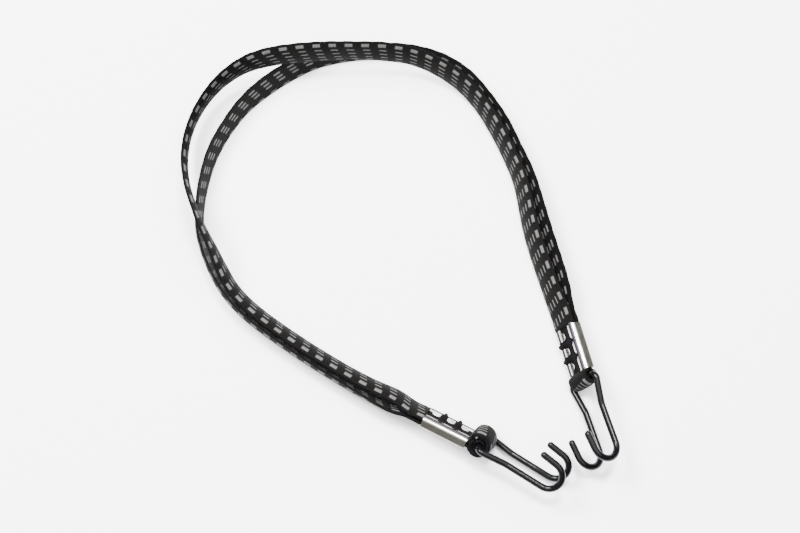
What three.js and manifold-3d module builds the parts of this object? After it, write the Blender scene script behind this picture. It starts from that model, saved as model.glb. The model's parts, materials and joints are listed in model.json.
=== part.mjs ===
// Elastic luggage strap: two strands of flat woven elastic, folded round a double wire hook at each end
// and pinched together there by a toothed sheet metal clip.
// Millimetres, +Z up, lying on the plane Z = 0. The origin is below the middle of the two end fittings.
import * as THREE from "three";
import { mergeVertices } from "three/addons/utils/BufferGeometryUtils.js";
import Module from "manifold-3d";

// Elastic band: a woven cover round a row of rubber threads
const bandWidth = 15;
const bandThickness = 3;
const bandEdgeWall = 1.1;
const threadDiameter = 0.8;
const threadCount = 6;
const fitGap = 0.3;

// Band where the clips press it and where it folds round a hook's bar
const pressedThickness = 2.55;
const pressedWidth = 13.6;
const foldWidth = 14.3;
const loopEase = 0.4;

// Sheet metal clip
const clipLength = 23.5;
const sheet = 0.7;
const clipBend = 2.3;
const slotWidth = 3.2;
const slotOffset = 0.3;
const tabCount = 3;
const deepNotchWidth = 3.2;
const deepNotchRim = 1;
const smallNotchWidth = 1.8;
const smallNotchDepth = 1.1;

// Double hook bent from one coated wire
const wireDiameter = 3.2;
const barSpan = 20.4;
const barBend = 2.6;
const legSpan = 13.2;
const taperLength = 15;
const taperBend = 9;
const legLength = 35;
const curlRadius = 7;
const curlOpening = 7.5;
const tipLength = 7.4;

// Where each end lies: the bar's centre, and the clip's heading, pitch and roll in degrees.
// upperSide says which way along the bar is up, and swing is how far the hook hangs from the clip's line.
// The clip's middle lies below the bar by clipDrop, and the fold's middle lies behind it and above it.
const ends = {
  right: {
    bar: [31.7, 14.2, 9.5],
    heading: -74.5,
    pitch: 3,
    roll: 57,
    upperSide: 1,
    swing: 3.2,
    barToClip: 3.6,
    clipDrop: 0.4,
    loopBore: 4.2,
    loopTurn: 107,
    foldBack: 0.2,
    foldRise: 0,
    foldThickness: 2.7,
  },
  left: {
    bar: [-17.7, -17.2, 10.2],
    heading: -27.7,
    pitch: 2.8,
    roll: -54,
    upperSide: -1,
    swing: 5.6,
    barToClip: 6.7,
    clipDrop: 1.3,
    loopBore: 6.9,
    loopTurn: 114,
    foldBack: 0.9,
    foldRise: 0.6,
    foldThickness: 3.05,
  },
};

// Routes of the two strands from the right clip over the far side to the left clip.
// Each point is the band's centre x, y, z and the outward lean of its width from the vertical in degrees.
// The inner strand climbs over the outer one, crosses it twice and comes down beside it again.
const strandRoutes = {
  inner_strand: [
    [16.6, 60.4, 8.7, 28],
    [7.9, 88.5, 8.7, 25],
    [2.1, 117, 8.7, 21],
    [-3.3, 130.9, 8.8, 19.5],
    [-9.6, 144.2, 8.8, 19.5],
    [-17, 156.6, 9.2, 18.5],
    [-26.7, 167, 11, 16],
    [-38.7, 174.5, 14, 15],
    [-51.5, 178.7, 17.8, 14.5],
    [-65.6, 179.7, 21.6, 16],
    [-79.6, 179.7, 23.2, 13.5],
    [-94.1, 179.3, 23.4, 17],
    [-108.6, 178.3, 23.3, 18],
    [-123, 176.9, 21.2, 16],
    [-136.6, 173.8, 16.6, 10.5],
    [-147.8, 166.7, 13.4, 6.5],
    [-156.7, 155.8, 11.8, 3],
    [-162.6, 142.2, 12.4, 0],
    [-164.7, 126.7, 15.6, 0],
    [-162.8, 110.7, 20.5, 0],
    [-157.8, 95.5, 23.9, 2.5],
    [-153.8, 86.6, 22.6, 8.5],
    [-149.5, 78.6, 18.6, 14.5],
    [-145.5, 70.6, 13.4, 21],
    [-140, 61.1, 9.6, 26],
    [-130.3, 50.9, 8.8, 28],
    [-107.8, 34.2, 8.7, 29.5],
    [-84.2, 19.4, 8.7, 30],
    [-71.9, 12.7, 8.7, 31.5],
    [-59.4, 6.7, 8.5, 34],
  ],
  outer_strand: [
    [22.2, 62, 7.2, 27],
    [14.5, 90.2, 7.4, 25],
    [7, 118.4, 7.5, 20],
    [1.1, 132.6, 7.5, 17.5],
    [-5.3, 146.6, 7.6, 16.5],
    [-13.5, 159.6, 7.7, 15],
    [-23.5, 171.5, 7.7, 15],
    [-36.5, 180.1, 7.7, 14],
    [-51.4, 184.7, 7.7, 12.5],
    [-65.6, 185.9, 7.6, 12],
    [-80.1, 185.4, 7.5, 12.5],
    [-91.9, 183.7, 7.4, 15.5],
    [-101.8, 181, 7.4, 17.5],
    [-111.2, 176.6, 7.3, 20],
    [-125.7, 167, 7.3, 20],
    [-137.2, 156.2, 7.4, 16],
    [-145.9, 143.7, 7.4, 13.5],
    [-150.9, 134.1, 7.5, 13.5],
    [-154.1, 125.3, 7.5, 12.5],
    [-157.3, 109.7, 7.6, 10],
    [-157.9, 99.2, 7.7, 8],
    [-157.6, 90.2, 7.8, 9],
    [-155.3, 80.9, 7.8, 11],
    [-150.5, 69, 7.7, 14],
    [-144.1, 58, 7.6, 16],
    [-134, 46.7, 7.6, 16.5],
    [-111.1, 29.4, 7.6, 17],
    [-87.4, 14.2, 7.5, 18.5],
    [-74.9, 7, 7.3, 23],
    [-62.2, 0.6, 6.9, 29],
  ],
};
const leadIn = 8;
const strandSteps = 40;
const clipSide = { inner_strand: 1, outer_strand: -1 };

// Facets
const wireSides = 9;
const threadSides = 5;
const bandEdgeFacets = 4;
const boreEdgeFacets = 3;
const faceSplits = 3;
const bendFacets = 6;
const curlFacets = 12;
const loopFacets = 7;

const strandPitch = bandThickness + fitGap;
const clipInnerWidth = pressedWidth + 2 * fitGap;
const clipInnerHeight = 2 * pressedThickness + 3 * fitGap;
const wireRadius = wireDiameter / 2;
const radians = THREE.MathUtils.degToRad;

const materials = {
  cover: new THREE.MeshStandardMaterial({ color: 0x1d1c1d, roughness: 0.85, metalness: 0 }),
  rubber: new THREE.MeshStandardMaterial({ color: 0xcdb98c, roughness: 0.6, metalness: 0 }),
  clip: new THREE.MeshStandardMaterial({ color: 0xc9c8c2, roughness: 0.28, metalness: 1 }),
  hook: new THREE.MeshStandardMaterial({ color: 0x0b0b0d, roughness: 0.18, metalness: 0 }),
};

const wasm = await Module();
wasm.setup();

// Boolean helpers

function solidOf(geometry) {
  const bare = geometry.clone();
  bare.deleteAttribute("normal");
  bare.deleteAttribute("uv");
  const merged = mergeVertices(bare, 1e-4);
  return new wasm.Manifold(
    new wasm.Mesh({
      numProp: 3,
      vertProperties: merged.attributes.position.array,
      triVerts: new Uint32Array(merged.index.array),
    }),
  );
}

function geometryOf(solid) {
  const mesh = solid.getMesh();
  const geometry = new THREE.BufferGeometry();
  geometry.setAttribute("position", new THREE.BufferAttribute(mesh.vertProperties, 3));
  geometry.setIndex(new THREE.BufferAttribute(mesh.triVerts, 1));
  geometry.computeVertexNormals();
  return geometry;
}

function part(name, geometry, material) {
  const mesh = new THREE.Mesh(geometry, material);
  mesh.name = name;
  return mesh;
}

// Sweeps

// A path given by its stations: their centres, tangents, and the way that the section's own x lies.
// A longer way there stretches the section along its x alone, and stretch does so along its y.
class StationPath extends THREE.Curve {
  constructor({ centres, tangents, across, stretch = [] }) {
    super();
    this.centres = centres;
    this.tangents = tangents;
    this.across = across;
    this.stretch = stretch;
  }

  getSpacedPoints() {
    return this.centres;
  }

  computeFrenetFrames() {
    const binormals = this.tangents.map((tangent, i) => {
      return tangent.clone().cross(this.across[i]).setLength(this.stretch[i] ?? 1);
    });
    return { tangents: this.tangents, normals: this.across, binormals };
  }
}

function pathTangents(centres) {
  const last = centres.length - 1;
  return centres.map((centre, i) => {
    const before = centres[Math.max(i - 1, 0)];
    const after = centres[Math.min(i + 1, last)];
    return after.clone().sub(before).normalize();
  });
}

function sweep(section, stations) {
  const extrudePath = new StationPath(stations);
  const steps = stations.centres.length - 1;
  return new THREE.ExtrudeGeometry(section, { steps, extrudePath });
}

// Stations along a chain of points, with a section direction that turns as little as it can.
function steadyStations(centres, start) {
  const tangents = pathTangents(centres);
  const normal = start.clone();
  const across = tangents.map((tangent) => {
    normal.addScaledVector(tangent, -normal.dot(tangent)).normalize();
    return normal.clone();
  });
  return { centres, tangents, across };
}

function polygon(sides, radius, x = 0) {
  const corners = [];
  for (let i = 0; i < sides; i += 1) {
    const angle = (2 * Math.PI * i) / sides;
    corners.push(new THREE.Vector2(x + radius * Math.cos(angle), radius * Math.sin(angle)));
  }
  return corners;
}

// A flat section with round edges, its width along x. Split faces let it twist smoothly.
function flatSection(width, thickness, edgeFacets, splits) {
  const radius = thickness / 2;
  const reach = width / 2 - radius;
  const corners = [];
  for (const side of [1, -1]) {
    for (let i = 0; i <= edgeFacets; i += 1) {
      const angle = Math.PI * (i / edgeFacets - 0.5);
      const x = side * (reach + radius * Math.cos(angle));
      corners.push(new THREE.Vector2(x, side * radius * Math.sin(angle)));
    }
    for (let i = 1; i < splits; i += 1) {
      corners.push(new THREE.Vector2(side * reach * (1 - (2 * i) / splits), side * radius));
    }
  }
  return corners;
}

// Hook

// Points of the bend between two straight runs of wire.
function bendPoints(before, corner, after, radius) {
  const inward = before.clone().sub(corner).normalize();
  const outward = after.clone().sub(corner).normalize();
  const half = inward.angleTo(outward) / 2;
  const middle = inward.clone().add(outward).normalize();
  const centre = corner.clone().addScaledVector(middle, radius / Math.sin(half));
  const spoke = corner.clone().addScaledVector(inward, radius / Math.tan(half)).sub(centre);
  const axis = outward.clone().cross(inward).normalize();
  const turn = Math.PI - 2 * half;
  const points = [];
  for (let i = 0; i <= bendFacets; i += 1) {
    points.push(spoke.clone().applyAxisAngle(axis, (turn * i) / bendFacets).add(centre));
  }
  return points;
}

// One leg of the wire from the bar's middle to its tip, in the hook's own frame:
// X along the legs, Y along the bar and Z the way the curls go.
function legPoints(side) {
  const y = (side * legSpan) / 2;
  const middle = new THREE.Vector3(0, 0, 0);
  const barCorner = new THREE.Vector3(0, (side * barSpan) / 2, 0);
  const taperEnd = new THREE.Vector3(taperLength, y, 0);
  const legEnd = new THREE.Vector3(legLength, y, 0);
  const points = [
    ...bendPoints(middle, barCorner, taperEnd, barBend),
    ...bendPoints(barCorner, taperEnd, legEnd, taperBend),
  ];
  const curl = Math.PI - radians(curlOpening);
  for (let i = 0; i <= curlFacets; i += 1) {
    const angle = (curl * i) / curlFacets;
    const x = legLength + curlRadius * Math.sin(angle);
    points.push(new THREE.Vector3(x, y, curlRadius - curlRadius * Math.cos(angle)));
  }
  const tipWay = new THREE.Vector3(Math.cos(curl), 0, Math.sin(curl));
  points.push(points.at(-1).clone().addScaledVector(tipWay, tipLength));
  return points;
}

function hookGeometry() {
  const centres = [...legPoints(-1).reverse(), ...legPoints(1)];
  const section = new THREE.Shape(polygon(wireSides, wireRadius));
  const wire = sweep(section, steadyStations(centres, new THREE.Vector3(0, 1, 0)));
  let solid = solidOf(wire);
  for (const tip of [centres[0], centres.at(-1)]) {
    const cap = new THREE.SphereGeometry(wireRadius, wireSides, wireSides - 1);
    solid = solid.add(solidOf(cap.translate(tip.x, tip.y, tip.z)));
  }
  return geometryOf(solid);
}

// Clip

const alongX = new THREE.Matrix4().makeBasis(
  new THREE.Vector3(0, 1, 0),
  new THREE.Vector3(0, 0, 1),
  new THREE.Vector3(1, 0, 0),
);

function roundedRectangle(path, width, height, radius) {
  const x = width / 2;
  const y = height / 2;
  path.moveTo(x - radius, -y);
  path.absarc(x - radius, radius - y, radius, -Math.PI / 2, 0);
  path.absarc(x - radius, y - radius, radius, 0, Math.PI / 2);
  path.absarc(radius - x, y - radius, radius, Math.PI / 2, Math.PI);
  path.absarc(radius - x, radius - y, radius, Math.PI, 1.5 * Math.PI);
  path.closePath();
  return path;
}

function box(xMin, xMax, yMin, yMax, zMin, zMax) {
  const geometry = new THREE.BoxGeometry(xMax - xMin, yMax - yMin, zMax - zMin);
  return geometry.translate((xMin + xMax) / 2, (yMin + yMax) / 2, (zMin + zMax) / 2);
}

// The clip, centred, with its slot in the +Z face and its deep notches on the -Y flange.
function clipGeometry() {
  const width = clipInnerWidth + 2 * sheet;
  const height = clipInnerHeight + 2 * sheet;
  const shape = roundedRectangle(new THREE.Shape(), width, height, clipBend);
  shape.holes.push(
    roundedRectangle(new THREE.Path(), clipInnerWidth, clipInnerHeight, clipBend - sheet),
  );
  const tube = new THREE.ExtrudeGeometry(shape, {
    depth: clipLength,
    bevelEnabled: false,
    curveSegments: bendFacets,
  });
  tube.translate(0, 0, -clipLength / 2).applyMatrix4(alongX);
  const slotLow = slotOffset - slotWidth / 2;
  const slotHigh = slotOffset + slotWidth / 2;
  const cuts = [box(-clipLength, clipLength, slotLow, slotHigh, 0, height)];
  const tabPitch = clipLength / tabCount;
  for (let i = 1; i < tabCount; i += 1) {
    const x = i * tabPitch - clipLength / 2;
    const deep = deepNotchWidth / 2;
    const small = smallNotchWidth / 2;
    cuts.push(box(x - deep, x + deep, deepNotchRim - width / 2, slotHigh, 0, height));
    cuts.push(box(x - small, x + small, slotLow, slotHigh + smallNotchDepth, 0, height));
  }
  let solid = solidOf(tube);
  for (const cut of cuts) {
    solid = solid.subtract(solidOf(cut));
  }
  return geometryOf(solid);
}

// Band loop: the fold round the bar, with both tails running back through the clip.
// It is as narrow and thin as the clip presses it there, and wider and thicker round the bar.

function loopGeometry(place) {
  const { barToClip, clipDrop, loopBore, loopTurn, foldBack, foldRise, foldThickness } = place;
  const mouth = -barToClip - clipLength;
  const tailZ = (pressedThickness + fitGap) / 2;
  const upperZ = tailZ - clipDrop;
  const lowerZ = -tailZ - clipDrop;
  const radius = (loopBore + foldThickness) / 2;
  const turn = radians(loopTurn);
  const turnX = radius * Math.cos(turn) - foldBack;
  const turnZ = radius * Math.sin(turn);
  const pull = loopEase * barToClip;
  const pullX = turnX - pull * Math.sin(turn);
  const pullZ = turnZ + pull * Math.cos(turn);
  const easeX = pull - barToClip;
  const fold = new THREE.Path();
  fold.moveTo(mouth, upperZ);
  fold.lineTo(-barToClip, upperZ);
  fold.bezierCurveTo(easeX, upperZ, pullX, foldRise + pullZ, turnX, foldRise + turnZ);
  fold.absarc(-foldBack, foldRise, radius, turn, -turn, true);
  fold.bezierCurveTo(pullX, foldRise - pullZ, easeX, lowerZ, -barToClip, lowerZ);
  fold.lineTo(mouth, lowerZ);
  const centres = fold.getPoints(loopFacets).map(({ x, y }) => new THREE.Vector3(x, 0, y));
  const section = new THREE.Shape(flatSection(pressedWidth, pressedThickness, bandEdgeFacets, 1));
  const stations = steadyStations(centres, new THREE.Vector3(0, 1, 0));
  const outside = centres.map(({ x }) => THREE.MathUtils.smoothstep(x, -barToClip, 0));
  stations.across.forEach((across, i) => {
    across.multiplyScalar(THREE.MathUtils.lerp(1, foldWidth / pressedWidth, outside[i]));
  });
  stations.stretch = outside.map((share) => {
    return THREE.MathUtils.lerp(1, foldThickness / pressedThickness, share);
  });
  return sweep(section, stations);
}

// End fittings

function endFitting(side, place) {
  const group = new THREE.Group();
  group.position.set(...place.bar);
  group.rotation.set(radians(place.roll), radians(-place.pitch), radians(place.heading), "ZYX");
  const hook = part(`${side}_hook`, hookGeometry(), materials.hook);
  hook.rotation.y = radians(place.swing);
  const clip = part(`${side}_clip`, clipGeometry(), materials.clip);
  clip.position.set(-place.barToClip - clipLength / 2, 0, -place.clipDrop);
  clip.rotation.z = place.upperSide > 0 ? 0 : Math.PI;
  const loop = part(`${side}_band_loop`, loopGeometry(place), materials.cover);
  group.add(hook, clip, loop);
  group.updateMatrixWorld(true);
  return group;
}

// Strands

// The two route points that bring a strand straight out of a clip's mouth.
function leadPoints(group, place, side) {
  const mouth = -place.barToClip - clipLength - fitGap;
  const lean = 90 - Math.abs(place.roll);
  return [mouth, mouth - leadIn].map((x) => ({
    centre: group.localToWorld(new THREE.Vector3(x, 0, (side * strandPitch) / 2 - place.clipDrop)),
    lean,
  }));
}

// Stations along a strand at even steps, with the band's width leaning outwards as its route says.
function strandStations(route) {
  const curve = new THREE.CatmullRomCurve3(route.map((point) => point.centre));
  const stations = { centres: [], tangents: [], across: [] };
  for (let i = 0; i <= strandSteps; i += 1) {
    const t = curve.getUtoTmapping(i / strandSteps);
    const place = t * (route.length - 1);
    const from = Math.min(Math.floor(place), route.length - 2);
    const lean = radians(
      THREE.MathUtils.lerp(route[from].lean, route[from + 1].lean, place - from),
    );
    const tangent = curve.getTangent(t);
    const outward = new THREE.Vector3(tangent.y, -tangent.x, 0).normalize();
    const upward = outward.clone().cross(tangent);
    stations.centres.push(curve.getPoint(t));
    stations.tangents.push(tangent);
    stations.across.push(
      outward.multiplyScalar(Math.sin(lean)).addScaledVector(upward, Math.cos(lean)),
    );
  }
  return stations;
}

function strand(name, leadRight, leadLeft) {
  const points = strandRoutes[name].map(([x, y, z, lean]) => ({
    centre: new THREE.Vector3(x, y, z),
    lean,
  }));
  const route = [...leadRight, ...points, ...leadLeft.reverse()];
  const stations = strandStations(route);
  const boreWidth = bandWidth - 2 * bandEdgeWall;
  const boreHeight = threadDiameter + 2 * fitGap;
  const outline = flatSection(bandWidth, bandThickness, bandEdgeFacets, faceSplits);
  const bore = flatSection(boreWidth, boreHeight, boreEdgeFacets, faceSplits);
  const section = new THREE.Shape(outline);
  section.holes.push(new THREE.Path(bore));
  const group = new THREE.Group();
  group.add(part(`${name}_cover`, sweep(section, stations), materials.cover));
  const rowWidth = boreWidth - boreHeight;
  for (let i = 0; i < threadCount; i += 1) {
    const x = rowWidth * (i / (threadCount - 1) - 0.5);
    const thread = new THREE.Shape(polygon(threadSides, threadDiameter / 2, x));
    group.add(part(`${name}_thread_${i + 1}`, sweep(thread, stations), materials.rubber));
  }
  return group;
}

// Whole strap

const strap = new THREE.Group();
const rightEnd = endFitting("right", ends.right);
const leftEnd = endFitting("left", ends.left);
strap.add(rightEnd, leftEnd);
for (const [name, side] of Object.entries(clipSide)) {
  const leadRight = leadPoints(rightEnd, ends.right, side);
  const leadLeft = leadPoints(leftEnd, ends.left, side);
  strap.add(strand(name, leadRight, leadLeft));
}

export default strap;
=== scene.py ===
"""Looks of a flat elastic luggage strap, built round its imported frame.

Metres, +Z up, in the frame's own axes.
"""

import json
import math

import bmesh
import bpy
import numpy as np
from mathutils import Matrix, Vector


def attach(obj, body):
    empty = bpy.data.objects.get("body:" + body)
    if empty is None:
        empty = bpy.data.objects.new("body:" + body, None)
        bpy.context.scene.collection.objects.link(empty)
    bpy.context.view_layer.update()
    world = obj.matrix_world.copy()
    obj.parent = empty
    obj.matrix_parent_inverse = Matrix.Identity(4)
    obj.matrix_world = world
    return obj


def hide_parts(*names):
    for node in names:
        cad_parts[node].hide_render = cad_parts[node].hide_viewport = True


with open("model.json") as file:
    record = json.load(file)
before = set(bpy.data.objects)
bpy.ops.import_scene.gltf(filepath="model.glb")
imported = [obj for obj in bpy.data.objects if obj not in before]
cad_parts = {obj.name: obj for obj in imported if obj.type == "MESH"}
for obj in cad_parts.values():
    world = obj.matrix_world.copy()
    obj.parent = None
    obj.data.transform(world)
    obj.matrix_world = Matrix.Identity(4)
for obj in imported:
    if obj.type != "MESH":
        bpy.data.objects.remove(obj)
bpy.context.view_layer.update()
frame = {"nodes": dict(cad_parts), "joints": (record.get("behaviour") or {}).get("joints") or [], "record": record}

# Camera
CAMERA_TARGET = (-0.0576, 0.0737, 0.0)
CAMERA_ELEVATION = math.radians(75)
CAMERA_DISTANCE = 1.0
CAMERA_LENS = 90
SENSOR_WIDTH = 36

# Woven band
BAND_WIDTH = 0.015
BAND_THICKNESS = 0.0026
STRAND_PITCH = 0.0033
STRAND_STEP = 0.0008
ROUTE_STEPS = 100
FACE_STEPS = 24
EDGE_STEPS = 8
EDGE_ROUND = 0.09
STRAND_THINNING = 0.75
FOLD_THINNING = 0.3
DOME = 2.5
PRESSED_WIDTH = 0.013
PRESSED_THICKNESS = 0.0019
FOLD_WIDTH = 0.0134
FOLD_CROWN = 0.0002
CROWN_POWER = 4
FOLD_STEPS = 24
LOOP_EASE = 0.4
EASE_STEPS = 16
TAIL_OVERLAP = 0.001
TAIL_STEPS = 80

# The band's end, rolled up inside the left fold
CORE_CENTRE = (-0.0004, 0.0, 0.00025)
CORE_INNER = 0.0025
CORE_OUTER = 0.0027
CORE_THICKNESS = 0.0006
CORE_WIDTH = 0.0132
CORE_START = math.radians(200)
CORE_TURN = math.radians(-340)
CORE_STEPS = 64

# Dash pattern of the band: rows repeat along it, and columns lie at shares of its width, each with
# its half width. The band's edge stands out a little beside each row of dashes
DASH_PERIOD = 0.008
DASH_SHARE = 0.46
ROW_MIDDLE = 0.5
ROW_SKEW = 0.0045
FRONT_COLUMNS = ((0.12, 0.024), (0.3, 0.024), (0.48, 0.024), (0.66, 0.024), (0.865, 0.061))
REVERSE_COLUMNS = ((0.09, 0.035), (0.43, 0.042), (0.61, 0.042), (0.79, 0.042))
EDGE_BUMP = 0.0003
BUMP_START = 0.36
BUMP_FULL = 0.16
BUMP_POWER = 8

# Clip
CLIP_LENGTH = 0.0235
CLIP_WIDTH = 0.015
CLIP_HEIGHT = 0.0058
CLIP_BEND = 0.0022
BACK_BEND = 0.0009
SHEET = 0.0007
SLOT_LOW = -0.0009
SLOT_HIGH = 0.0028
TAB_COUNT = 3
DEEP_NOTCH_WIDTH = 0.0037
DEEP_NOTCH_DEPTH = 0.0064
SMALL_NOTCH_WIDTH = 0.0038
SMALL_NOTCH_DEPTH = 0.0023
CREASE_REACH = 0.0009
CREASE_INSET = 0.0003
LOBE_ROUND = 0.0016
LOBE_SPARE = 0.0001
LOBE_DIP = 0.0004
LOBE_DIP_LENGTH = 0.003
NOTCH_WALL = 0.00003
CLIP_STATIONS = 95
SHEET_STEPS = 80
FLANGE_STEPS = 10
LOBE_STEPS = 20
SHARP_ANGLE = math.radians(40)

# Tufts of the band in the clip's deep notches
TUFT_SIDE = 0.0008
TUFT_HEIGHT = 0.0016
TUFT_REACH = 0.004
TUFT_RISE = 0.001

# Double hook
WIRE_RADIUS = 0.0017
BAR_SPAN = 0.0204
BAR_BEND = 0.0026
LEG_SPAN = 0.0132
TAPER_LENGTH = 0.015
TAPER_BEND = 0.009
LEG_LENGTH = 0.035
CURL_RADIUS = 0.007
CURL_OPENING = math.radians(7.5)
TIP_LENGTH = 0.0074
CAP_END = 0.05
WIRE_SIDES = 24
BAR_BEND_STEPS = 14
TAPER_BEND_STEPS = 10
CURL_STEPS = 40
TIP_STEPS = 8

# Between a clip and the strands that start at it, and between the fold's two tails in the clip
FIT_GAP = 0.0003

# Each end: which way along the bar is up, how far the hook hangs from the clip's line, the clip's
# distance from the bar and its drop, the fold's bore, half its turn, its place behind and above the
# bar and its thickness, the strands' lean at the clip in degrees, and the fold's dash row and skew
ENDS = {
    "right": {
        "up": 1,
        "swing": math.radians(3.2),
        "bar_to_clip": 0.0036,
        "drop": 0.0004,
        "bore": 0.0042,
        "turn": math.radians(107),
        "back": 0.0002,
        "rise": 0.0,
        "thickness": 0.0027,
        "lean": 33,
        "row": -0.5,
        "skew": -0.0023,
    },
    "left": {
        "up": -1,
        "swing": math.radians(5.6),
        "bar_to_clip": 0.0067,
        "drop": 0.0013,
        "bore": 0.0073,
        "turn": math.radians(126),
        "back": 0.001,
        "rise": 0.0006,
        "thickness": 0.0032,
        "lean": 36,
        "row": -0.36,
        "skew": 0.0022,
    },
}

# Routes of the strands from the right clip to the left clip: the band's centre and its outward lean
# in degrees
LEAD_IN = 0.008
ROUTES = {
    "inner_strand": (
        (0.0166, 0.0604, 0.0087, 28),
        (0.0079, 0.0885, 0.0087, 25),
        (0.0021, 0.1170, 0.0087, 21),
        (-0.0033, 0.1309, 0.0088, 19.5),
        (-0.0096, 0.1442, 0.0088, 19.5),
        (-0.0170, 0.1566, 0.0092, 18.5),
        (-0.0267, 0.1670, 0.0110, 16),
        (-0.0387, 0.1745, 0.0140, 15),
        (-0.0515, 0.1787, 0.0178, 14.5),
        (-0.0656, 0.1797, 0.0216, 16),
        (-0.0796, 0.1797, 0.0232, 13.5),
        (-0.0941, 0.1793, 0.0234, 17),
        (-0.1086, 0.1783, 0.0233, 18),
        (-0.1230, 0.1769, 0.0212, 16),
        (-0.1366, 0.1738, 0.0166, 10.5),
        (-0.1478, 0.1667, 0.0134, 6.5),
        (-0.1567, 0.1558, 0.0118, 3),
        (-0.1626, 0.1422, 0.0124, 0),
        (-0.1647, 0.1267, 0.0156, 0),
        (-0.1628, 0.1107, 0.0205, 0),
        (-0.1578, 0.0955, 0.0239, 2.5),
        (-0.1538, 0.0866, 0.0226, 8.5),
        (-0.1495, 0.0786, 0.0186, 14.5),
        (-0.1455, 0.0706, 0.0134, 21),
        (-0.1400, 0.0611, 0.0096, 26),
        (-0.1303, 0.0509, 0.0088, 28),
        (-0.1078, 0.0342, 0.0087, 29.5),
        (-0.0842, 0.0194, 0.0087, 30),
        (-0.0719, 0.0127, 0.0087, 31.5),
        (-0.0594, 0.0067, 0.0085, 34),
    ),
    "outer_strand": (
        (0.0222, 0.0620, 0.0072, 27),
        (0.0145, 0.0902, 0.0074, 25),
        (0.0070, 0.1184, 0.0075, 20),
        (0.0011, 0.1326, 0.0075, 17.5),
        (-0.0053, 0.1466, 0.0076, 16.5),
        (-0.0135, 0.1596, 0.0077, 15),
        (-0.0235, 0.1715, 0.0077, 15),
        (-0.0365, 0.1801, 0.0077, 14),
        (-0.0514, 0.1847, 0.0077, 12.5),
        (-0.0656, 0.1859, 0.0076, 12),
        (-0.0801, 0.1854, 0.0075, 12.5),
        (-0.0919, 0.1837, 0.0074, 15.5),
        (-0.1018, 0.1810, 0.0074, 17.5),
        (-0.1112, 0.1766, 0.0073, 20),
        (-0.1257, 0.1670, 0.0073, 20),
        (-0.1372, 0.1562, 0.0074, 16),
        (-0.1459, 0.1437, 0.0074, 13.5),
        (-0.1509, 0.1341, 0.0075, 13.5),
        (-0.1541, 0.1253, 0.0075, 12.5),
        (-0.1573, 0.1097, 0.0076, 10),
        (-0.1579, 0.0992, 0.0077, 8),
        (-0.1576, 0.0902, 0.0078, 9),
        (-0.1553, 0.0809, 0.0078, 11),
        (-0.1505, 0.0690, 0.0077, 14),
        (-0.1441, 0.0580, 0.0076, 16),
        (-0.1340, 0.0467, 0.0076, 16.5),
        (-0.1111, 0.0294, 0.0076, 17),
        (-0.0874, 0.0142, 0.0075, 18.5),
        (-0.0749, 0.0070, 0.0073, 23),
        (-0.0622, 0.0006, 0.0069, 29),
    ),
}
# Each strand: its side of the clip and the way its front faces, its count of dash rows at places
# along it, its curl away from the front as depths at places along it, and the shares of that curl
# at its top edge and at its foot, less a share all over
STRANDS = {
    "inner_strand": {
        "clip_side": 1,
        "front": -1,
        "row_at": (
            0.0, 0.0565, 0.1273, 0.2233, 0.2874, 0.3419,
            0.3702, 0.4039, 0.4527, 0.5017, 0.51,
        ),
        "row": (
            0.175, 6.975, 15.975, 27.975, 35.975, 41.975,
            45.975, 49.975, 55.975, 61.975, 62.995,
        ),
        "curl_at": (0.0, 0.03, 0.23, 0.3, 0.48, 0.5),
        "curl": (0.0, 0.0005, 0.0005, 0.0018, 0.0018, 0.0003),
        "bow": (0.7, 0.4, 0.033),
    },
    "outer_strand": {
        "clip_side": -1,
        "front": 1,
        "row_at": (0.0, 0.0166, 0.1309, 0.2751, 0.3296, 0.4898, 0.4979),
        "row": (-0.3, 1.76, 15.91, 33.74, 40.73, 60.52, 61.52),
        "curl_at": (0.0, 0.03, 0.33, 0.37, 0.455, 0.485),
        "curl": (0.0, 0.0005, 0.0006, 0.0018, 0.0018, 0.0003),
        "bow": (1.0, 1.0, 0.333),
    },
}

# Band material: its weave, the soft edges of the dashes, shares of each detail in tone and height
WEFT_PITCH = 0.00095
WARP_PITCH = 0.0014
WARP_DEPTH = 0.5
YARN_PITCH = 0.0007
FIBRE_SCALE = 2600.0
FIBRE_DETAIL = 3.0
CLOUD_SCALE = 90.0
CLOUD_RANGE = (0.35, 0.65)
DASH_SOFT = 0.03
COLUMN_SOFT = 0.012
FACE_SOFT = 0.1
FIBRE_TONE = 0.5
WEAVE_TONE = 0.7
YARN_TONE = 0.6
TINT_SHARE = 0.5
DASH_RISE = 0.8
WEAVE_RISE = 0.7
FIBRE_RISE = 0.25
BAND_BUMP = 0.00022
BLACK_ROUGHNESS = 0.72
DASH_ROUGHNESS = 0.5
BAND_SPECULAR = 0.03
SHEEN_WEIGHT = 0.004
SHEEN_ROUGHNESS = 0.5
BLACK_DEEP = (0.0005, 0.0005, 0.0005, 1)
BLACK_HIGH = (0.0045, 0.0042, 0.0042, 1)
BLACK_WARM = (0.0026, 0.0024, 0.0016, 1)
BLACK_COOL = (0.002, 0.0016, 0.0028, 1)
YARN_DARK = (0.035, 0.035, 0.034, 1)
YARN_LIGHT = (0.1, 0.099, 0.0955, 1)

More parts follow.
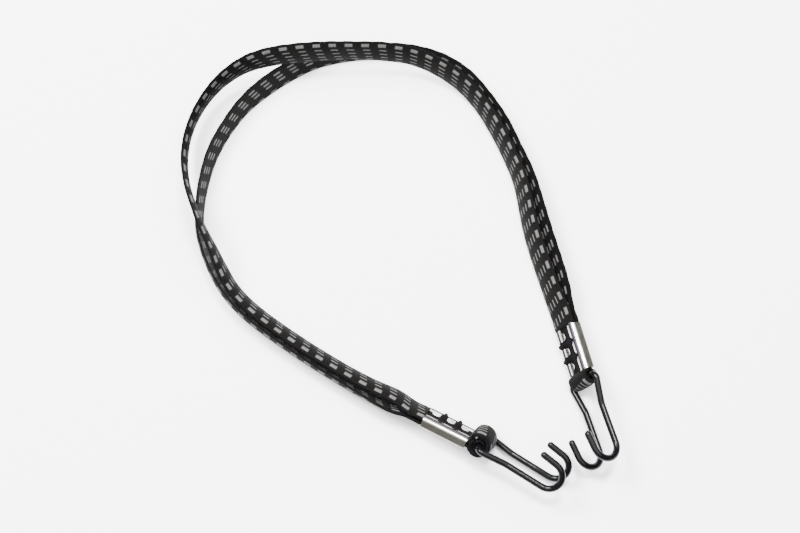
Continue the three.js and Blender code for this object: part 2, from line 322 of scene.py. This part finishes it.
# Clip material: its worn bloom, drawn lines, side walls darkened by painted shade and made rougher, and painted
# shade in dark creases
BLOOM_SCALE = 260.0
BLOOM_DETAIL = 3.0
BLOOM_SHARE = 0.65
SPECK_SCALE = 2200.0
SPECK_SHARE = 0.35
WORN_RANGE = (0.35, 0.65)
GLOSS_RANGE = (0.3, 0.7)
DULL_ROUGHNESS = 0.24
BRIGHT_ROUGHNESS = 0.14
WALL_RANGE = (0.8, 0.97)
WALL_ROUGHNESS = 0.14
CREASE_SOFT = 0.0002
LINE_PITCH = 0.00035
LINE_WANDER = 0.0006
LINE_RISE = 0.3
SPECK_RISE = 0.4
END_RISE = 0.4
END_LENGTH = 0.0006
PLATE_BUMP = 0.00002
PLATE_DULL = (0.36, 0.355, 0.32, 1)
PLATE_BRIGHT = (0.56, 0.55, 0.52, 1)
# Painted shade: the dark tone of the creases, and the darker tone of the side walls
PLATE_CREASE_SHADE = (0.02, 0.018, 0.026, 1)
PLATE_WALL_SHADE = (0.135, 0.128, 0.114, 1)

# Hook material: an uneven skin and fine dust
SKIN_SCALE = 420.0
DUST_SCALE = 1800.0
DUST_DETAIL = 3.0
DUST_RANGE = (0.5, 0.75)
MATT_RANGE = (0.4, 0.7)
CLEAN_ROUGHNESS = 0.1
DUSTY_ROUGHNESS = 0.2
COAT_SPECULAR = 0.12
COAT_BUMP = 0.00002
COAT_DEEP = (0.002, 0.002, 0.0025, 1)
COAT_DUSTY = (0.005, 0.005, 0.006, 1)

# Floor material
GRAIN_SCALE = 700.0
GRAIN_DETAIL = 3.0
FLOOR_ROUGHNESS = 0.9
FLOOR_SPECULAR = 0.1
FLOOR_LOW = (0.92, 0.92, 0.92, 1)
FLOOR_HIGH = (0.95, 0.95, 0.95, 1)

# Stage: each light's name, place, size and power
FLOOR_SIZE = 6.0
WORLD_STRENGTH = 0.07
LIGHTS = (
    ("key", (-0.75, 0.55, 1.3), (0.6, 0.6), 80.0),
    ("top", (0.0, 0.25, 1.7), (3.0, 2.8), 172.0),
    ("spot", (0.05, 0.4, 1.6), (0.28, 0.28), 50.0),
    ("front", (-0.85, -0.98, 0.76), (0.9, 0.9), 2.0),
)


# Shapes


def unit(vectors):
    return vectors / np.linalg.norm(vectors, axis=-1, keepdims=True)


def smooth_step(low, high, values):
    share = np.clip((values - low) / (high - low), 0, 1)
    return share * share * (3 - 2 * share)


def write_attribute(mesh, name, values):
    numbers = np.ascontiguousarray(values, np.float32).ravel()
    mesh.attributes.new(name, "FLOAT", "POINT").data.foreach_set("value", numbers)


def new_piece(name, points, faces, material):
    mesh = bpy.data.meshes.new(name)
    mesh.from_pydata(points.reshape(-1, 3).tolist(), [], faces)
    work = bmesh.new()
    work.from_mesh(mesh)
    bmesh.ops.recalc_face_normals(work, faces=work.faces)
    work.to_mesh(mesh)
    work.free()
    mesh.shade_smooth()
    mesh.materials.append(material)
    piece = bpy.data.objects.new(name, mesh)
    bpy.context.scene.collection.objects.link(piece)
    return piece


def tube_faces(stations, corners):
    """Quads between rings of corners, and a face on each end."""
    index = np.arange(stations * corners).reshape(stations, corners)
    beside = np.roll(index, -1, axis=1)
    quads = np.stack([index[:-1], beside[:-1], beside[1:], index[1:]], axis=-1)
    return quads.reshape(-1, 4).tolist() + [index[0].tolist(), index[-1].tolist()]


def end_axes(end):
    """A fitting's place: its bar's centre, then its X along the clip to the hook, Y along the bar
    and Z out of the slot.
    """
    joint = next(j for j in frame["joints"] if j["child"] == f"{end}_hook")
    mount = next(m for m in frame["record"]["mounts"] if m["name"] == f"{end}_clip_back")
    y = -ENDS[end]["up"] * np.array(joint["axis"])
    z = -np.array(mount["axis"])
    return np.array(joint["pos_m"]), np.stack([np.cross(y, z), y, z])


def from_end(end, points):
    """Points in a fitting's own axes, as points in the frame."""
    origin, axes = end_axes(end)
    return origin + np.asarray(points) @ axes


# Woven band


def band_section(thinning):
    """The band's section as shares of half its width and half its thickness: domed faces and thin
    round edges.
    """
    flat = 1 - EDGE_ROUND
    turn = np.linspace(-0.5, 0.5, EDGE_STEPS + 1) * math.pi
    edge_height = 1 - thinning * flat**DOME
    round_edge = np.stack([flat + EDGE_ROUND * np.cos(turn), edge_height * np.sin(turn)], axis=-1)
    face = flat * (1 - 2 * np.arange(1, FACE_STEPS) / FACE_STEPS)
    domed_face = np.stack([face, 1 - thinning * np.abs(face) ** DOME], axis=-1)
    half = np.concatenate([round_edge, domed_face])
    return np.concatenate([half, -half])


def band_piece(name, path, material, front):
    """A stretch of band along a path of centres, ways across, widths, thicknesses and counts of
    dash rows, with a crown, a curl and a relief where the path has them.
    """
    centres, across = path["centres"], path["across"]
    tangents = unit(np.gradient(centres, axis=0))
    across = unit(across - tangents * np.sum(across * tangents, axis=1, keepdims=True))
    outward = np.cross(tangents, across)
    share, depth = band_section(path["thinning"]).T
    rows = path["rows"][:, None] - path["skew"] / DASH_PERIOD * (share + 1) / 2
    beside = smooth_step(BUMP_START, BUMP_FULL, np.abs(rows % 1 - ROW_MIDDLE))
    bump = EDGE_BUMP * beside * np.maximum(share, 0) ** BUMP_POWER
    spread = share * path["widths"][:, None] / 2 + bump
    height = depth * path["thicknesses"][:, None] / 2
    if "crowns" in path:
        crown = path["crowns"][:, None] * share**CROWN_POWER * (1 + depth * front) / 2
        height = height - crown * front
    if "curls" in path:
        top, foot, seat = path["bow"]
        bow = np.where(share > 0, top, foot) * share**2 - seat
        height = height - path["curls"][:, None] * bow * front
    rings = centres[:, None] + across[:, None] * spread[..., None]
    rings = rings + outward[:, None] * height[..., None]
    if "relief" in path:
        rings = rings + path["relief"](rings)
    piece = new_piece(name, rings, tube_faces(*rings.shape[:2]), material)
    write_attribute(piece.data, "row", rows)
    write_attribute(piece.data, "across", np.broadcast_to((share + 1) / 2, rows.shape))
    write_attribute(piece.data, "face", np.broadcast_to(depth * front, rows.shape))
    write_attribute(piece.data, "slant", np.full(rows.shape, path["skew"] / DASH_PERIOD))
    return piece


def travelled(points):
    """The length along the points, up to each one."""
    return np.concatenate([[0], np.cumsum(np.linalg.norm(np.diff(points, axis=0), axis=1))])


def curve_through(points, places):
    """Points on the smooth curve through the given ones, at places counted in points."""
    ends = np.concatenate([[2 * points[0] - points[1]], points, [2 * points[-1] - points[-2]]])
    first = np.minimum(places.astype(int), len(points) - 2)
    share = (places - first)[:, None]
    p0, p1, p2, p3 = (ends[first + i] for i in range(4))
    spans = ((p0, p1), (p1, p2), (p2, p3))
    d0, d1, d2 = (np.linalg.norm(b - a, axis=1, keepdims=True) ** 0.5 for a, b in spans)
    t1 = ((p1 - p0) / d0 - (p2 - p0) / (d0 + d1) + (p2 - p1) / d1) * d1
    t2 = ((p2 - p1) / d1 - (p3 - p1) / (d1 + d2) + (p3 - p2) / d2) * d1
    square, cube = share**2, share**3
    return (
        p1 * (2 * cube - 3 * square + 1)
        + p2 * (3 * square - 2 * cube)
        + t1 * (cube - 2 * square + share)
        + t2 * (cube - square)
    )


def strand_path(name):
    """A strand's path: out of the right clip, along its route and into the left clip."""
    facts = STRANDS[name]
    leads = {}
    for end, fitting in ENDS.items():
        mouth = -fitting["bar_to_clip"] - CLIP_LENGTH - FIT_GAP
        height = facts["clip_side"] * STRAND_PITCH / 2 - fitting["drop"]
        leads[end] = [
            (*from_end(end, (mouth - out, 0, height)), fitting["lean"]) for out in (0, LEAD_IN)
        ]
    route = np.array([*leads["right"], *ROUTES[name], *leads["left"][::-1]])
    places = np.linspace(0, len(route) - 1, ROUTE_STEPS * len(route))
    dense = curve_through(route[:, :3], places)
    run = travelled(dense)
    steps = np.linspace(0, run[-1], round(run[-1] / STRAND_STEP))
    places = np.interp(steps, run, places)
    centres = curve_through(route[:, :3], places)
    lean = np.radians(np.interp(places, np.arange(len(route)), route[:, 3]))
    tangents = unit(np.gradient(centres, axis=0))
    outward = unit(np.stack([tangents[:, 1], -tangents[:, 0], np.zeros(len(steps))], axis=-1))
    upward = np.cross(outward, tangents)
    across = outward * np.sin(lean)[:, None] + upward * np.cos(lean)[:, None]
    return {
        "centres": centres,
        "across": across,
        "rows": np.interp(steps, facts["row_at"], facts["row"]),
        "skew": ROW_SKEW,
        "widths": np.full(len(steps), BAND_WIDTH),
        "thicknesses": np.full(len(steps), BAND_THICKNESS),
        "thinning": STRAND_THINNING,
        "curls": np.interp(steps, facts["curl_at"], facts["curl"]),
        "bow": facts["bow"],
    }


def make_strand(name, material):
    path = strand_path(name)
    piece = band_piece(f"{name}_band", path, material, STRANDS[name]["front"])
    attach(piece, "strap")
    nodes = [node for node in frame["nodes"] if node.startswith(name)]
    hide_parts(*nodes)


def bezier(a, b, c, d, steps):
    share = np.linspace(0, 1, steps)[:, None]
    rest = 1 - share
    return rest**3 * a + 3 * rest**2 * share * b + 3 * rest * share**2 * c + share**3 * d


def fold_line(end):
    """The fold's centreline in the fitting's X and Z: along the upper tail, round the bar, back."""
    facts = ENDS[end]
    clip_end = -facts["bar_to_clip"]
    mouth = clip_end - CLIP_LENGTH - TAIL_OVERLAP
    tail = (PRESSED_THICKNESS + FIT_GAP) / 2
    radius = (facts["bore"] + facts["thickness"]) / 2
    centre = np.array([-facts["back"], facts["rise"]])
    pull = LOOP_EASE * facts["bar_to_clip"]
    halves = []
    for side in (1, -1):
        turn = side * facts["turn"]
        height = side * tail - facts["drop"]
        turned = centre + radius * np.array([math.cos(turn), math.sin(turn)])
        pulled = turned + side * pull * np.array([-math.sin(turn), math.cos(turn)])
        along = np.linspace(mouth, clip_end, TAIL_STEPS)
        straight = np.stack([along, np.full(TAIL_STEPS, height)], axis=-1)
        leaving = np.array([clip_end + pull, height])
        ease = bezier(straight[-1], leaving, pulled, turned, EASE_STEPS)
        angles = np.linspace(turn, 0, FOLD_STEPS)
        arc = centre + radius * np.stack([np.cos(angles), np.sin(angles)], axis=-1)
        halves.append(np.concatenate([straight, ease[1:], arc[1:]]))
    return np.concatenate([halves[0], halves[1][-2::-1]])


def make_loop(end, material):
    """The band's fold round a bar, with no dashes on its tails inside the clip."""
    facts = ENDS[end]
    line = fold_line(end)
    local = np.insert(line, 1, 0, axis=1)
    outside = smooth_step(-facts["bar_to_clip"], 0, line[:, 0])
    axes = end_axes(end)[1]
    run = travelled(line)
    bare = facts["skew"] / DASH_PERIOD / 2
    free = np.clip(run, run[TAIL_STEPS - 1], run[-TAIL_STEPS])
    rows = (free - run[-1] / 2) / DASH_PERIOD + facts["row"]
    path = {
        "centres": from_end(end, local),
        "across": np.tile(facts["up"] * axes[1], (len(line), 1)),
        "rows": np.where(free == run, rows, bare + np.round(rows - bare)),
        "skew": facts["skew"],
        "thinning": FOLD_THINNING,
        "widths": PRESSED_WIDTH + (FOLD_WIDTH - PRESSED_WIDTH) * outside,
        "thicknesses": PRESSED_THICKNESS + (facts["thickness"] - PRESSED_THICKNESS) * outside,
        "crowns": FOLD_CROWN * outside,
        "relief": lambda rings: notch_relief(end, rings),
    }
    piece = band_piece(f"{end}_fold", path, material, facts["up"])
    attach(piece, "strap")
    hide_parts(f"{end}_band_loop")


def make_core(material):
    """The band's end, rolled up inside the left fold."""
    up = ENDS["left"]["up"]
    bar_way = end_axes("left")[1][1]
    angles = CORE_START + CORE_TURN * np.linspace(0, 1, CORE_STEPS)
    radii = np.linspace(CORE_INNER, CORE_OUTER, CORE_STEPS)
    flat = np.zeros(CORE_STEPS)
    local = np.stack([radii * np.cos(angles), flat, radii * np.sin(angles)], axis=-1)
    path = {
        "centres": from_end("left", local + CORE_CENTRE),
        "across": np.tile(up * bar_way, (CORE_STEPS, 1)),
        "rows": flat,
        "skew": 0.0,
        "thinning": FOLD_THINNING,
        "widths": np.full(CORE_STEPS, CORE_WIDTH),
        "thicknesses": np.full(CORE_STEPS, CORE_THICKNESS),
    }
    piece = band_piece("left_fold_core", path, material, up)
    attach(piece, "strap")


def notch_relief(end, rings):
    """The band pressed out through the clip's deep notches."""
    facts = ENDS[end]
    origin, axes = end_axes(end)
    local = (rings - origin) @ axes.T
    x = local[..., 0] + facts["bar_to_clip"] + CLIP_LENGTH / 2
    down = -local[..., 1] * facts["up"]
    near = np.min([np.abs(x - notch) for notch in notch_places()], axis=0)
    share = smooth_step(DEEP_NOTCH_WIDTH / 2, DEEP_NOTCH_WIDTH / 8, near)
    height = local[..., 2] + facts["drop"]
    share = share * smooth_step(SLOT_LOW, TUFT_REACH, down) * smooth_step(0, TUFT_RISE, height)
    push = np.array([0, -TUFT_SIDE * facts["up"], TUFT_HEIGHT])
    return (share[..., None] * push) @ axes


# Clip


def notch_places():
    pitch = CLIP_LENGTH / TAB_COUNT
    return [pitch * i - CLIP_LENGTH / 2 for i in range(1, TAB_COUNT)]


def clip_outline(at):
    """The clip's outer section and its normals, at lengths from the plain flange's edge to the
    lobed flange's.
    """
    x, y = CLIP_WIDTH / 2 - CLIP_BEND, CLIP_HEIGHT / 2 - CLIP_BEND
    back_x, back_y = CLIP_WIDTH / 2 - BACK_BEND, CLIP_HEIGHT / 2 - BACK_BEND
    # Each bend's centre, first angle and radius, and the straight run after it, at the last one
    # longer than the flange
    corners = (
        (x, y, 90, CLIP_BEND, y + back_y),
        (back_x, -back_y, 0, BACK_BEND, 2 * back_x),
        (-back_x, -back_y, -90, BACK_BEND, y + back_y),
        (-x, y, -180, CLIP_BEND, CLIP_WIDTH),
    )
    points, normals = [], []
    for length in at:
        left = length - (x - SLOT_HIGH)
        if left <= 0:
            points.append((x + left, CLIP_HEIGHT / 2))
            normals.append((0, 1))
            continue
        for cx, cy, start, bend, run in corners:
            quarter = bend * math.pi / 2
            angle = math.radians(start) - min(left, quarter) / bend
            normal = np.array([math.cos(angle), math.sin(angle)])
            past = min(max(left - quarter, 0), run)
            way = np.array([normal[1], -normal[0]])
            if left <= quarter + run:
                points.append(np.array([cx, cy]) + bend * normal + past * way)
                normals.append(normal)
                break
            left -= quarter + run
    return np.array(points), np.array(normals)


def lobe_edge(x):
    """How far the lobed flange's edge is set back at a place along the clip: round lobes and
    round-ended notches.
    """
    pitch = CLIP_LENGTH / TAB_COUNT
    half_notch = DEEP_NOTCH_WIDTH / 2
    near = min(abs(x - notch) for notch in notch_places())
    if near < half_notch:
        return DEEP_NOTCH_DEPTH - half_notch + math.sqrt(half_notch**2 - near**2)
    lobe = (pitch - DEEP_NOTCH_WIDTH) / 2
    aside = min(abs(x - (i + 0.5) * pitch + CLIP_LENGTH / 2) for i in range(TAB_COUNT))
    return LOBE_ROUND * (1 - math.sqrt(max(0, 1 - (aside / (lobe + LOBE_SPARE)) ** 2)))


def small_notch(x):
    """How far the plain flange's edge is set back at a place along the clip."""
    near = min(abs(x - notch) for notch in notch_places())
    return SMALL_NOTCH_DEPTH * max(0, 1 - 2 * near / SMALL_NOTCH_WIDTH)


def clip_stations():
    """Places along the clip, close together at the notches' walls."""
    places = list(np.linspace(-CLIP_LENGTH / 2, CLIP_LENGTH / 2, CLIP_STATIONS))
    for notch in notch_places():
        for side in (-1, 1):
            wall = notch + side * DEEP_NOTCH_WIDTH / 2
            places += [wall - NOTCH_WALL, wall + NOTCH_WALL]
    return np.array(sorted(places))


def make_clip(end, material):
    """A clip of folded sheet, as sections across it: along the outer side, then back inside."""
    facts = ENDS[end]
    flange = CLIP_WIDTH / 2 - CLIP_BEND
    bends = (CLIP_BEND + BACK_BEND) * math.pi
    walls = 2 * (CLIP_HEIGHT - CLIP_BEND - BACK_BEND)
    back = CLIP_WIDTH - 2 * BACK_BEND
    total = (flange - SLOT_HIGH) + bends + walls + back + (flange + SLOT_LOW)
    fixed_end = total - DEEP_NOTCH_DEPTH - SHEET
    fixed = np.linspace(SMALL_NOTCH_DEPTH + SHEET / 2, fixed_end, SHEET_STEPS)
    places = clip_stations()
    sections, upright = [], []
    for place in places:
        first = np.linspace(small_notch(place), fixed[0], FLANGE_STEPS)[:-1]
        last = np.linspace(fixed[-1], total - lobe_edge(place), LOBE_STEPS)[1:]
        lengths = np.concatenate([first, fixed, last])
        points, normals = clip_outline(lengths)
        dip = LOBE_DIP * smooth_step(total - LOBE_DIP_LENGTH, total, lengths)
        dip += LOBE_DIP * smooth_step(LOBE_DIP_LENGTH / 2, 0, lengths)
        points = points - normals * dip[:, None]
        inner = points - normals * SHEET
        sections.append(np.concatenate([points, inner[::-1]]))
        upright.append(np.abs(np.concatenate([normals, normals[::-1]])[:, 0]))
    rings = np.array(sections)
    across, height = rings[..., 0], rings[..., 1]
    middle = -facts["bar_to_clip"] - CLIP_LENGTH / 2
    along = np.broadcast_to(places[:, None], rings.shape[:2])
    local = np.stack([along + middle, across * facts["up"], height - facts["drop"]], axis=-1)
    faces = tube_faces(*rings.shape[:2])
    piece = new_piece(f"{end}_clip_sheet", from_end(end, local), faces, material)
    piece.data.set_sharp_from_angle(angle=SHARP_ANGLE)
    # The painted crease shade runs where this is 0, and the whole unit taken off keeps it from the clip's back
    crease_shade = np.abs(across) - flange + CREASE_INSET - (height < 0)
    write_attribute(piece.data, "along", along)
    write_attribute(piece.data, "height", local[..., 2])
    write_attribute(piece.data, "upright", np.array(upright))
    write_attribute(piece.data, "crease_shade", crease_shade)
    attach(piece, "strap")
    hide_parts(f"{end}_clip")


# Hook


def bend_points(before, corner, after, radius, steps):
    """A round bend in place of a corner between two straight runs."""
    inward, onward = unit(before - corner), unit(after - corner)
    half = math.acos(float(inward @ onward)) / 2
    centre = corner + unit(inward + onward) * radius / math.sin(half)
    spoke = corner + inward * radius / math.tan(half) - centre
    side = unit(np.cross(np.cross(onward, inward), spoke)) * radius
    turn = np.linspace(0, math.pi - 2 * half, steps)[:, None]
    return centre + spoke * np.cos(turn) + side * np.sin(turn)


def leg_points(side):
    """One leg of the wire from the bar's middle to its tip: X along the legs, Y along the bar and Z
    as the curls go.
    """
    y = side * LEG_SPAN / 2
    bar_corner = np.array([0, side * BAR_SPAN / 2, 0])
    taper_end = np.array([TAPER_LENGTH, y, 0])
    leg_end = np.array([LEG_LENGTH, y, 0])
    angle = np.linspace(0, math.pi - CURL_OPENING, CURL_STEPS)
    curl_x = LEG_LENGTH + CURL_RADIUS * np.sin(angle)
    curl_z = CURL_RADIUS * (1 - np.cos(angle))
    curl = np.stack([curl_x, np.full(CURL_STEPS, y), curl_z], axis=-1)
    tip_way = np.array([math.cos(angle[-1]), 0, math.sin(angle[-1])])
    tip = curl[-1] + np.linspace(0, TIP_LENGTH, TIP_STEPS)[1:, None] * tip_way
    cap_turn = np.linspace(0, math.pi / 2, TIP_STEPS)[1:, None]
    cap = np.sin(cap_turn) * WIRE_RADIUS * tip_way + tip[-1]
    return np.concatenate(
        [
            bend_points(np.zeros(3), bar_corner, taper_end, BAR_BEND, BAR_BEND_STEPS),
            bend_points(bar_corner, taper_end, leg_end, TAPER_BEND, TAPER_BEND_STEPS),
            curl,
            tip,
            cap,
        ]
    )


def make_hook(end, material):
    """A double hook: one round wire with round tips, hung from its bar at the end's swing."""
    swing = ENDS[end]["swing"]
    centres = np.concatenate([leg_points(-1)[::-1], leg_points(1)])
    cap = np.cos(np.linspace(0, math.pi / 2, TIP_STEPS))[1:] * WIRE_RADIUS
    cap[-1] = WIRE_RADIUS * CAP_END
    radii = np.full(len(centres), WIRE_RADIUS)
    radii[-len(cap):] = cap
    radii[: len(cap)] = cap[::-1]
    tangents = unit(np.gradient(centres, axis=0))
    normal = np.array([0.0, 1.0, 0.0])
    angles = np.linspace(0, 2 * math.pi, WIRE_SIDES, endpoint=False)
    rings = []
    for centre, tangent, radius in zip(centres, tangents, radii):
        normal = unit(normal - tangent * (normal @ tangent))
        side = np.cross(tangent, normal)
        spokes = np.outer(np.cos(angles), normal) + np.outer(np.sin(angles), side)
        rings.append(centre + radius * spokes)
    rings = np.array(rings)
    cosine, sine = math.cos(swing), math.sin(swing)
    swung = rings @ np.array([[cosine, 0, -sine], [0, 1, 0], [sine, 0, cosine]])
    faces = tube_faces(*rings.shape[:2])
    piece = new_piece(f"{end}_hook_wire", from_end(end, swung), faces, material)
    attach(piece, f"{end}_hook")
    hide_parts(f"{end}_hook")


# Materials


class Shader:
    """A material's nodes, with short calls for the sums in them."""

    def __init__(self, name):
        self.material = bpy.data.materials.new(name)
        self.material.use_nodes = True
        self.tree = self.material.node_tree
        self.surface = self.tree.nodes["Principled BSDF"]

    def node(self, kind, **settings):
        made = self.tree.nodes.new(kind)
        for key, value in settings.items():
            setattr(made, key, value)
        return made

    def link(self, value, socket):
        if isinstance(value, (int, float, tuple)):
            socket.default_value = value
        else:
            self.tree.links.new(value, socket)

    def attribute(self, name):
        return self.node("ShaderNodeAttribute", attribute_name=name).outputs["Fac"]

    def math(self, operation, *values):
        made = self.node("ShaderNodeMath", operation=operation)
        for value, socket in zip(values, made.inputs):
            self.link(value, socket)
        return made.outputs[0]

    def ramp(self, value, low, high, start=0.0, end=1.0):
        """start where value is low, end where it is high, and a smooth way between."""
        made = self.node("ShaderNodeMapRange", interpolation_type="SMOOTHSTEP")
        for part, socket in zip((value, low, high, start, end), made.inputs):
            self.link(part, socket)
        return made.outputs[0]

    def near(self, value, centre, reach, soft):
        """1 within reach of centre and 0 outside it, with a soft edge."""
        distance = self.math("ABSOLUTE", self.math("SUBTRACT", value, centre))
        return self.ramp(distance, reach + soft, reach - soft)

    def wave(self, value, period):
        """From 0 to 1 and back over each period."""
        turned = self.math("SINE", self.math("MULTIPLY", value, 2 * math.pi / period))
        return self.math("MULTIPLY_ADD", turned, 0.5, 0.5)

    def noise(self, scale, detail=2.0):
        place = self.node("ShaderNodeTexCoord").outputs["Object"]
        made = self.node("ShaderNodeTexNoise")
        self.link(place, made.inputs["Vector"])
        made.inputs["Scale"].default_value = scale
        made.inputs["Detail"].default_value = detail
        return made.outputs["Fac"]

    def mix(self, share, low, high):
        made = self.node("ShaderNodeMix", data_type="RGBA")
        self.link(share, made.inputs["Factor"])
        self.link(low, made.inputs[6])
        self.link(high, made.inputs[7])
        return made.outputs[2]

    def bump(self, height, distance):
        made = self.node("ShaderNodeBump")
        made.inputs["Distance"].default_value = distance
        self.link(height, made.inputs["Height"])
        self.link(made.outputs["Normal"], self.surface.inputs["Normal"])

    def set(self, **sockets):
        for name, value in sockets.items():
            self.link(value, self.surface.inputs[name.replace("_", " ")])


def woven_band():
    """Black elastic weave with rows of light dashes, its two faces unlike."""
    shader = Shader("woven_band")
    row, across = shader.attribute("row"), shader.attribute("across")
    face, slant = shader.attribute("face"), shader.attribute("slant")
    faces = []
    for columns in (REVERSE_COLUMNS, FRONT_COLUMNS):
        dashes = 0.0
        for centre, reach in columns:
            # Each column takes the row of its own middle, so its dashes end square
            aside = shader.math("SUBTRACT", across, centre)
            level = shader.math("FRACT", shader.math("MULTIPLY_ADD", aside, slant, row))
            dash_row = shader.near(level, ROW_MIDDLE, DASH_SHARE / 2, DASH_SOFT)
            column = shader.near(across, centre, reach, COLUMN_SOFT)
            dashes = shader.math("MAXIMUM", dashes, shader.math("MULTIPLY", dash_row, column))
        faces.append(dashes)
    front = shader.ramp(face, -FACE_SOFT, FACE_SOFT)
    unlike = shader.math("SUBTRACT", faces[1], faces[0])
    dash = shader.math("MULTIPLY_ADD", front, unlike, faces[0])
    weft = shader.wave(row, WEFT_PITCH / DASH_PERIOD)
    warp = shader.wave(across, WARP_PITCH / BAND_WIDTH)
    fibre = shader.noise(FIBRE_SCALE, FIBRE_DETAIL)
    cloud = shader.noise(CLOUD_SCALE)
    deep_warp = shader.math("MULTIPLY_ADD", warp, WARP_DEPTH, 1 - WARP_DEPTH)
    weave = shader.math("MULTIPLY", weft, deep_warp)
    weave_tone = shader.math("MULTIPLY", weave, WEAVE_TONE)
    tone = shader.math("MULTIPLY_ADD", fibre, FIBRE_TONE, weave_tone)
    black = shader.mix(tone, BLACK_DEEP, BLACK_HIGH)
    tint = shader.mix(shader.ramp(cloud, *CLOUD_RANGE), BLACK_WARM, BLACK_COOL)
    yarn = shader.wave(across, YARN_PITCH / BAND_WIDTH)
    yarn_tone = shader.math("MULTIPLY", yarn, YARN_TONE)
    light_tone = shader.math("MULTIPLY_ADD", fibre, FIBRE_TONE, yarn_tone)
    light = shader.mix(light_tone, YARN_DARK, YARN_LIGHT)
    weave_rise = shader.math("MULTIPLY", weave, WEAVE_RISE)
    dash_rise = shader.math("MULTIPLY_ADD", dash, DASH_RISE, weave_rise)
    shader.set(
        Base_Color=shader.mix(dash, shader.mix(TINT_SHARE, black, tint), light),
        Roughness=shader.ramp(dash, 0.0, 1.0, BLACK_ROUGHNESS, DASH_ROUGHNESS),
        Specular_IOR_Level=BAND_SPECULAR,
        Sheen_Weight=SHEEN_WEIGHT,
        Sheen_Roughness=SHEEN_ROUGHNESS,
    )
    shader.bump(shader.math("MULTIPLY_ADD", fibre, FIBRE_RISE, dash_rise), BAND_BUMP)
    return shader.material


def plated_sheet():
    """Bright plated steel with drawn lines along the clip, side walls darkened by painted shade and rougher, and
    creases painted dark and matt as shade.
    """
    shader = Shader("plated_sheet")
    bloom = shader.noise(BLOOM_SCALE, BLOOM_DETAIL)
    speck = shader.noise(SPECK_SCALE)
    bloom_share = shader.math("MULTIPLY", bloom, BLOOM_SHARE)
    worn = shader.math("MULTIPLY_ADD", speck, SPECK_SHARE, bloom_share)
    # Painted shade: a dark, matt, non-metal line along each crease
    crease_shade = shader.near(shader.attribute("crease_shade"), 0.0, CREASE_REACH, CREASE_SOFT)
    # Painted shade: upright faces, the side walls, get a darker plate colour; they are also rougher
    wall = shader.ramp(shader.attribute("upright"), *WALL_RANGE)
    plate = shader.mix(shader.ramp(worn, *WORN_RANGE), PLATE_DULL, PLATE_BRIGHT)
    plate = shader.mix(wall, plate, PLATE_WALL_SHADE)
    smooth = shader.ramp(worn, *GLOSS_RANGE, DULL_ROUGHNESS, BRIGHT_ROUGHNESS)
    shader.set(
        Base_Color=shader.mix(crease_shade, plate, PLATE_CREASE_SHADE),
        Roughness=shader.math("MULTIPLY_ADD", wall, WALL_ROUGHNESS, smooth),
        Metallic=shader.math("SUBTRACT", 1.0, crease_shade),
        Specular_IOR_Level=0.0,
    )
    level = shader.math("MULTIPLY_ADD", bloom, LINE_WANDER, shader.attribute("height"))
    lines = shader.math("MULTIPLY", shader.wave(level, LINE_PITCH), LINE_RISE)
    drawn = shader.math("MULTIPLY_ADD", speck, SPECK_RISE, lines)
    aside = shader.math("ABSOLUTE", shader.attribute("along"))
    ends = shader.ramp(aside, CLIP_LENGTH / 2, CLIP_LENGTH / 2 - END_LENGTH)
    shader.bump(shader.math("MULTIPLY_ADD", ends, END_RISE, drawn), PLATE_BUMP)
    return shader.material


def coated_wire():
    """Glossy black coating with a slightly uneven skin and fine dust."""
    shader = Shader("coated_wire")
    dust = shader.noise(DUST_SCALE, DUST_DETAIL)
    shader.set(
        Base_Color=shader.mix(shader.ramp(dust, *DUST_RANGE), COAT_DEEP, COAT_DUSTY),
        Roughness=shader.ramp(dust, *MATT_RANGE, CLEAN_ROUGHNESS, DUSTY_ROUGHNESS),
        Specular_IOR_Level=COAT_SPECULAR,
    )
    shader.bump(shader.noise(SKIN_SCALE), COAT_BUMP)
    return shader.material


def floor_paper():
    """Plain white paper."""
    shader = Shader("floor_paper")
    grain = shader.noise(GRAIN_SCALE, GRAIN_DETAIL)
    shader.set(
        Base_Color=shader.mix(grain, FLOOR_LOW, FLOOR_HIGH),
        Roughness=FLOOR_ROUGHNESS,
        Specular_IOR_Level=FLOOR_SPECULAR,
    )
    return shader.material


# Stage


def make_camera():
    data = bpy.data.cameras.new("camera")
    data.lens = CAMERA_LENS
    data.sensor_width = SENSOR_WIDTH
    data.sensor_fit = "HORIZONTAL"
    camera = bpy.data.objects.new("camera", data)
    back = Vector((0, -math.cos(CAMERA_ELEVATION), math.sin(CAMERA_ELEVATION)))
    camera.location = Vector(CAMERA_TARGET) + CAMERA_DISTANCE * back
    camera.rotation_euler = (math.pi / 2 - CAMERA_ELEVATION, 0, 0)
    bpy.context.scene.collection.objects.link(camera)
    bpy.context.scene.camera = camera


def make_floor():
    half = FLOOR_SIZE / 2
    x, y, _ = CAMERA_TARGET
    ways = ((-1, -1), (1, -1), (1, 1), (-1, 1))
    corners = np.array([(x + half * east, y + half * north, 0) for east, north in ways])
    floor = new_piece("floor", corners, [[0, 1, 2, 3]], floor_paper())


def make_light(name, place, size, power):
    data = bpy.data.lights.new(name, "AREA")
    data.shape = "RECTANGLE"
    data.size, data.size_y = size
    data.energy = power
    light = bpy.data.objects.new(name, data)
    light.location = place
    aim = Vector(CAMERA_TARGET) - Vector(place)
    light.rotation_euler = aim.to_track_quat("-Z", "Y").to_euler()
    bpy.context.scene.collection.objects.link(light)


def make_world():
    world = bpy.data.worlds.new("studio")
    bpy.context.scene.world = world
    world.use_nodes = True
    background = world.node_tree.nodes["Background"]
    background.inputs["Color"].default_value = (1, 1, 1, 1)
    background.inputs["Strength"].default_value = WORLD_STRENGTH


make_camera()
band = woven_band()
for strand in STRANDS:
    make_strand(strand, band)
plate = plated_sheet()
coat = coated_wire()
for end in ENDS:
    make_loop(end, band)
    make_clip(end, plate)
    make_hook(end, coat)
make_core(band)
make_floor()
for light in LIGHTS:
    make_light(*light)
make_world()
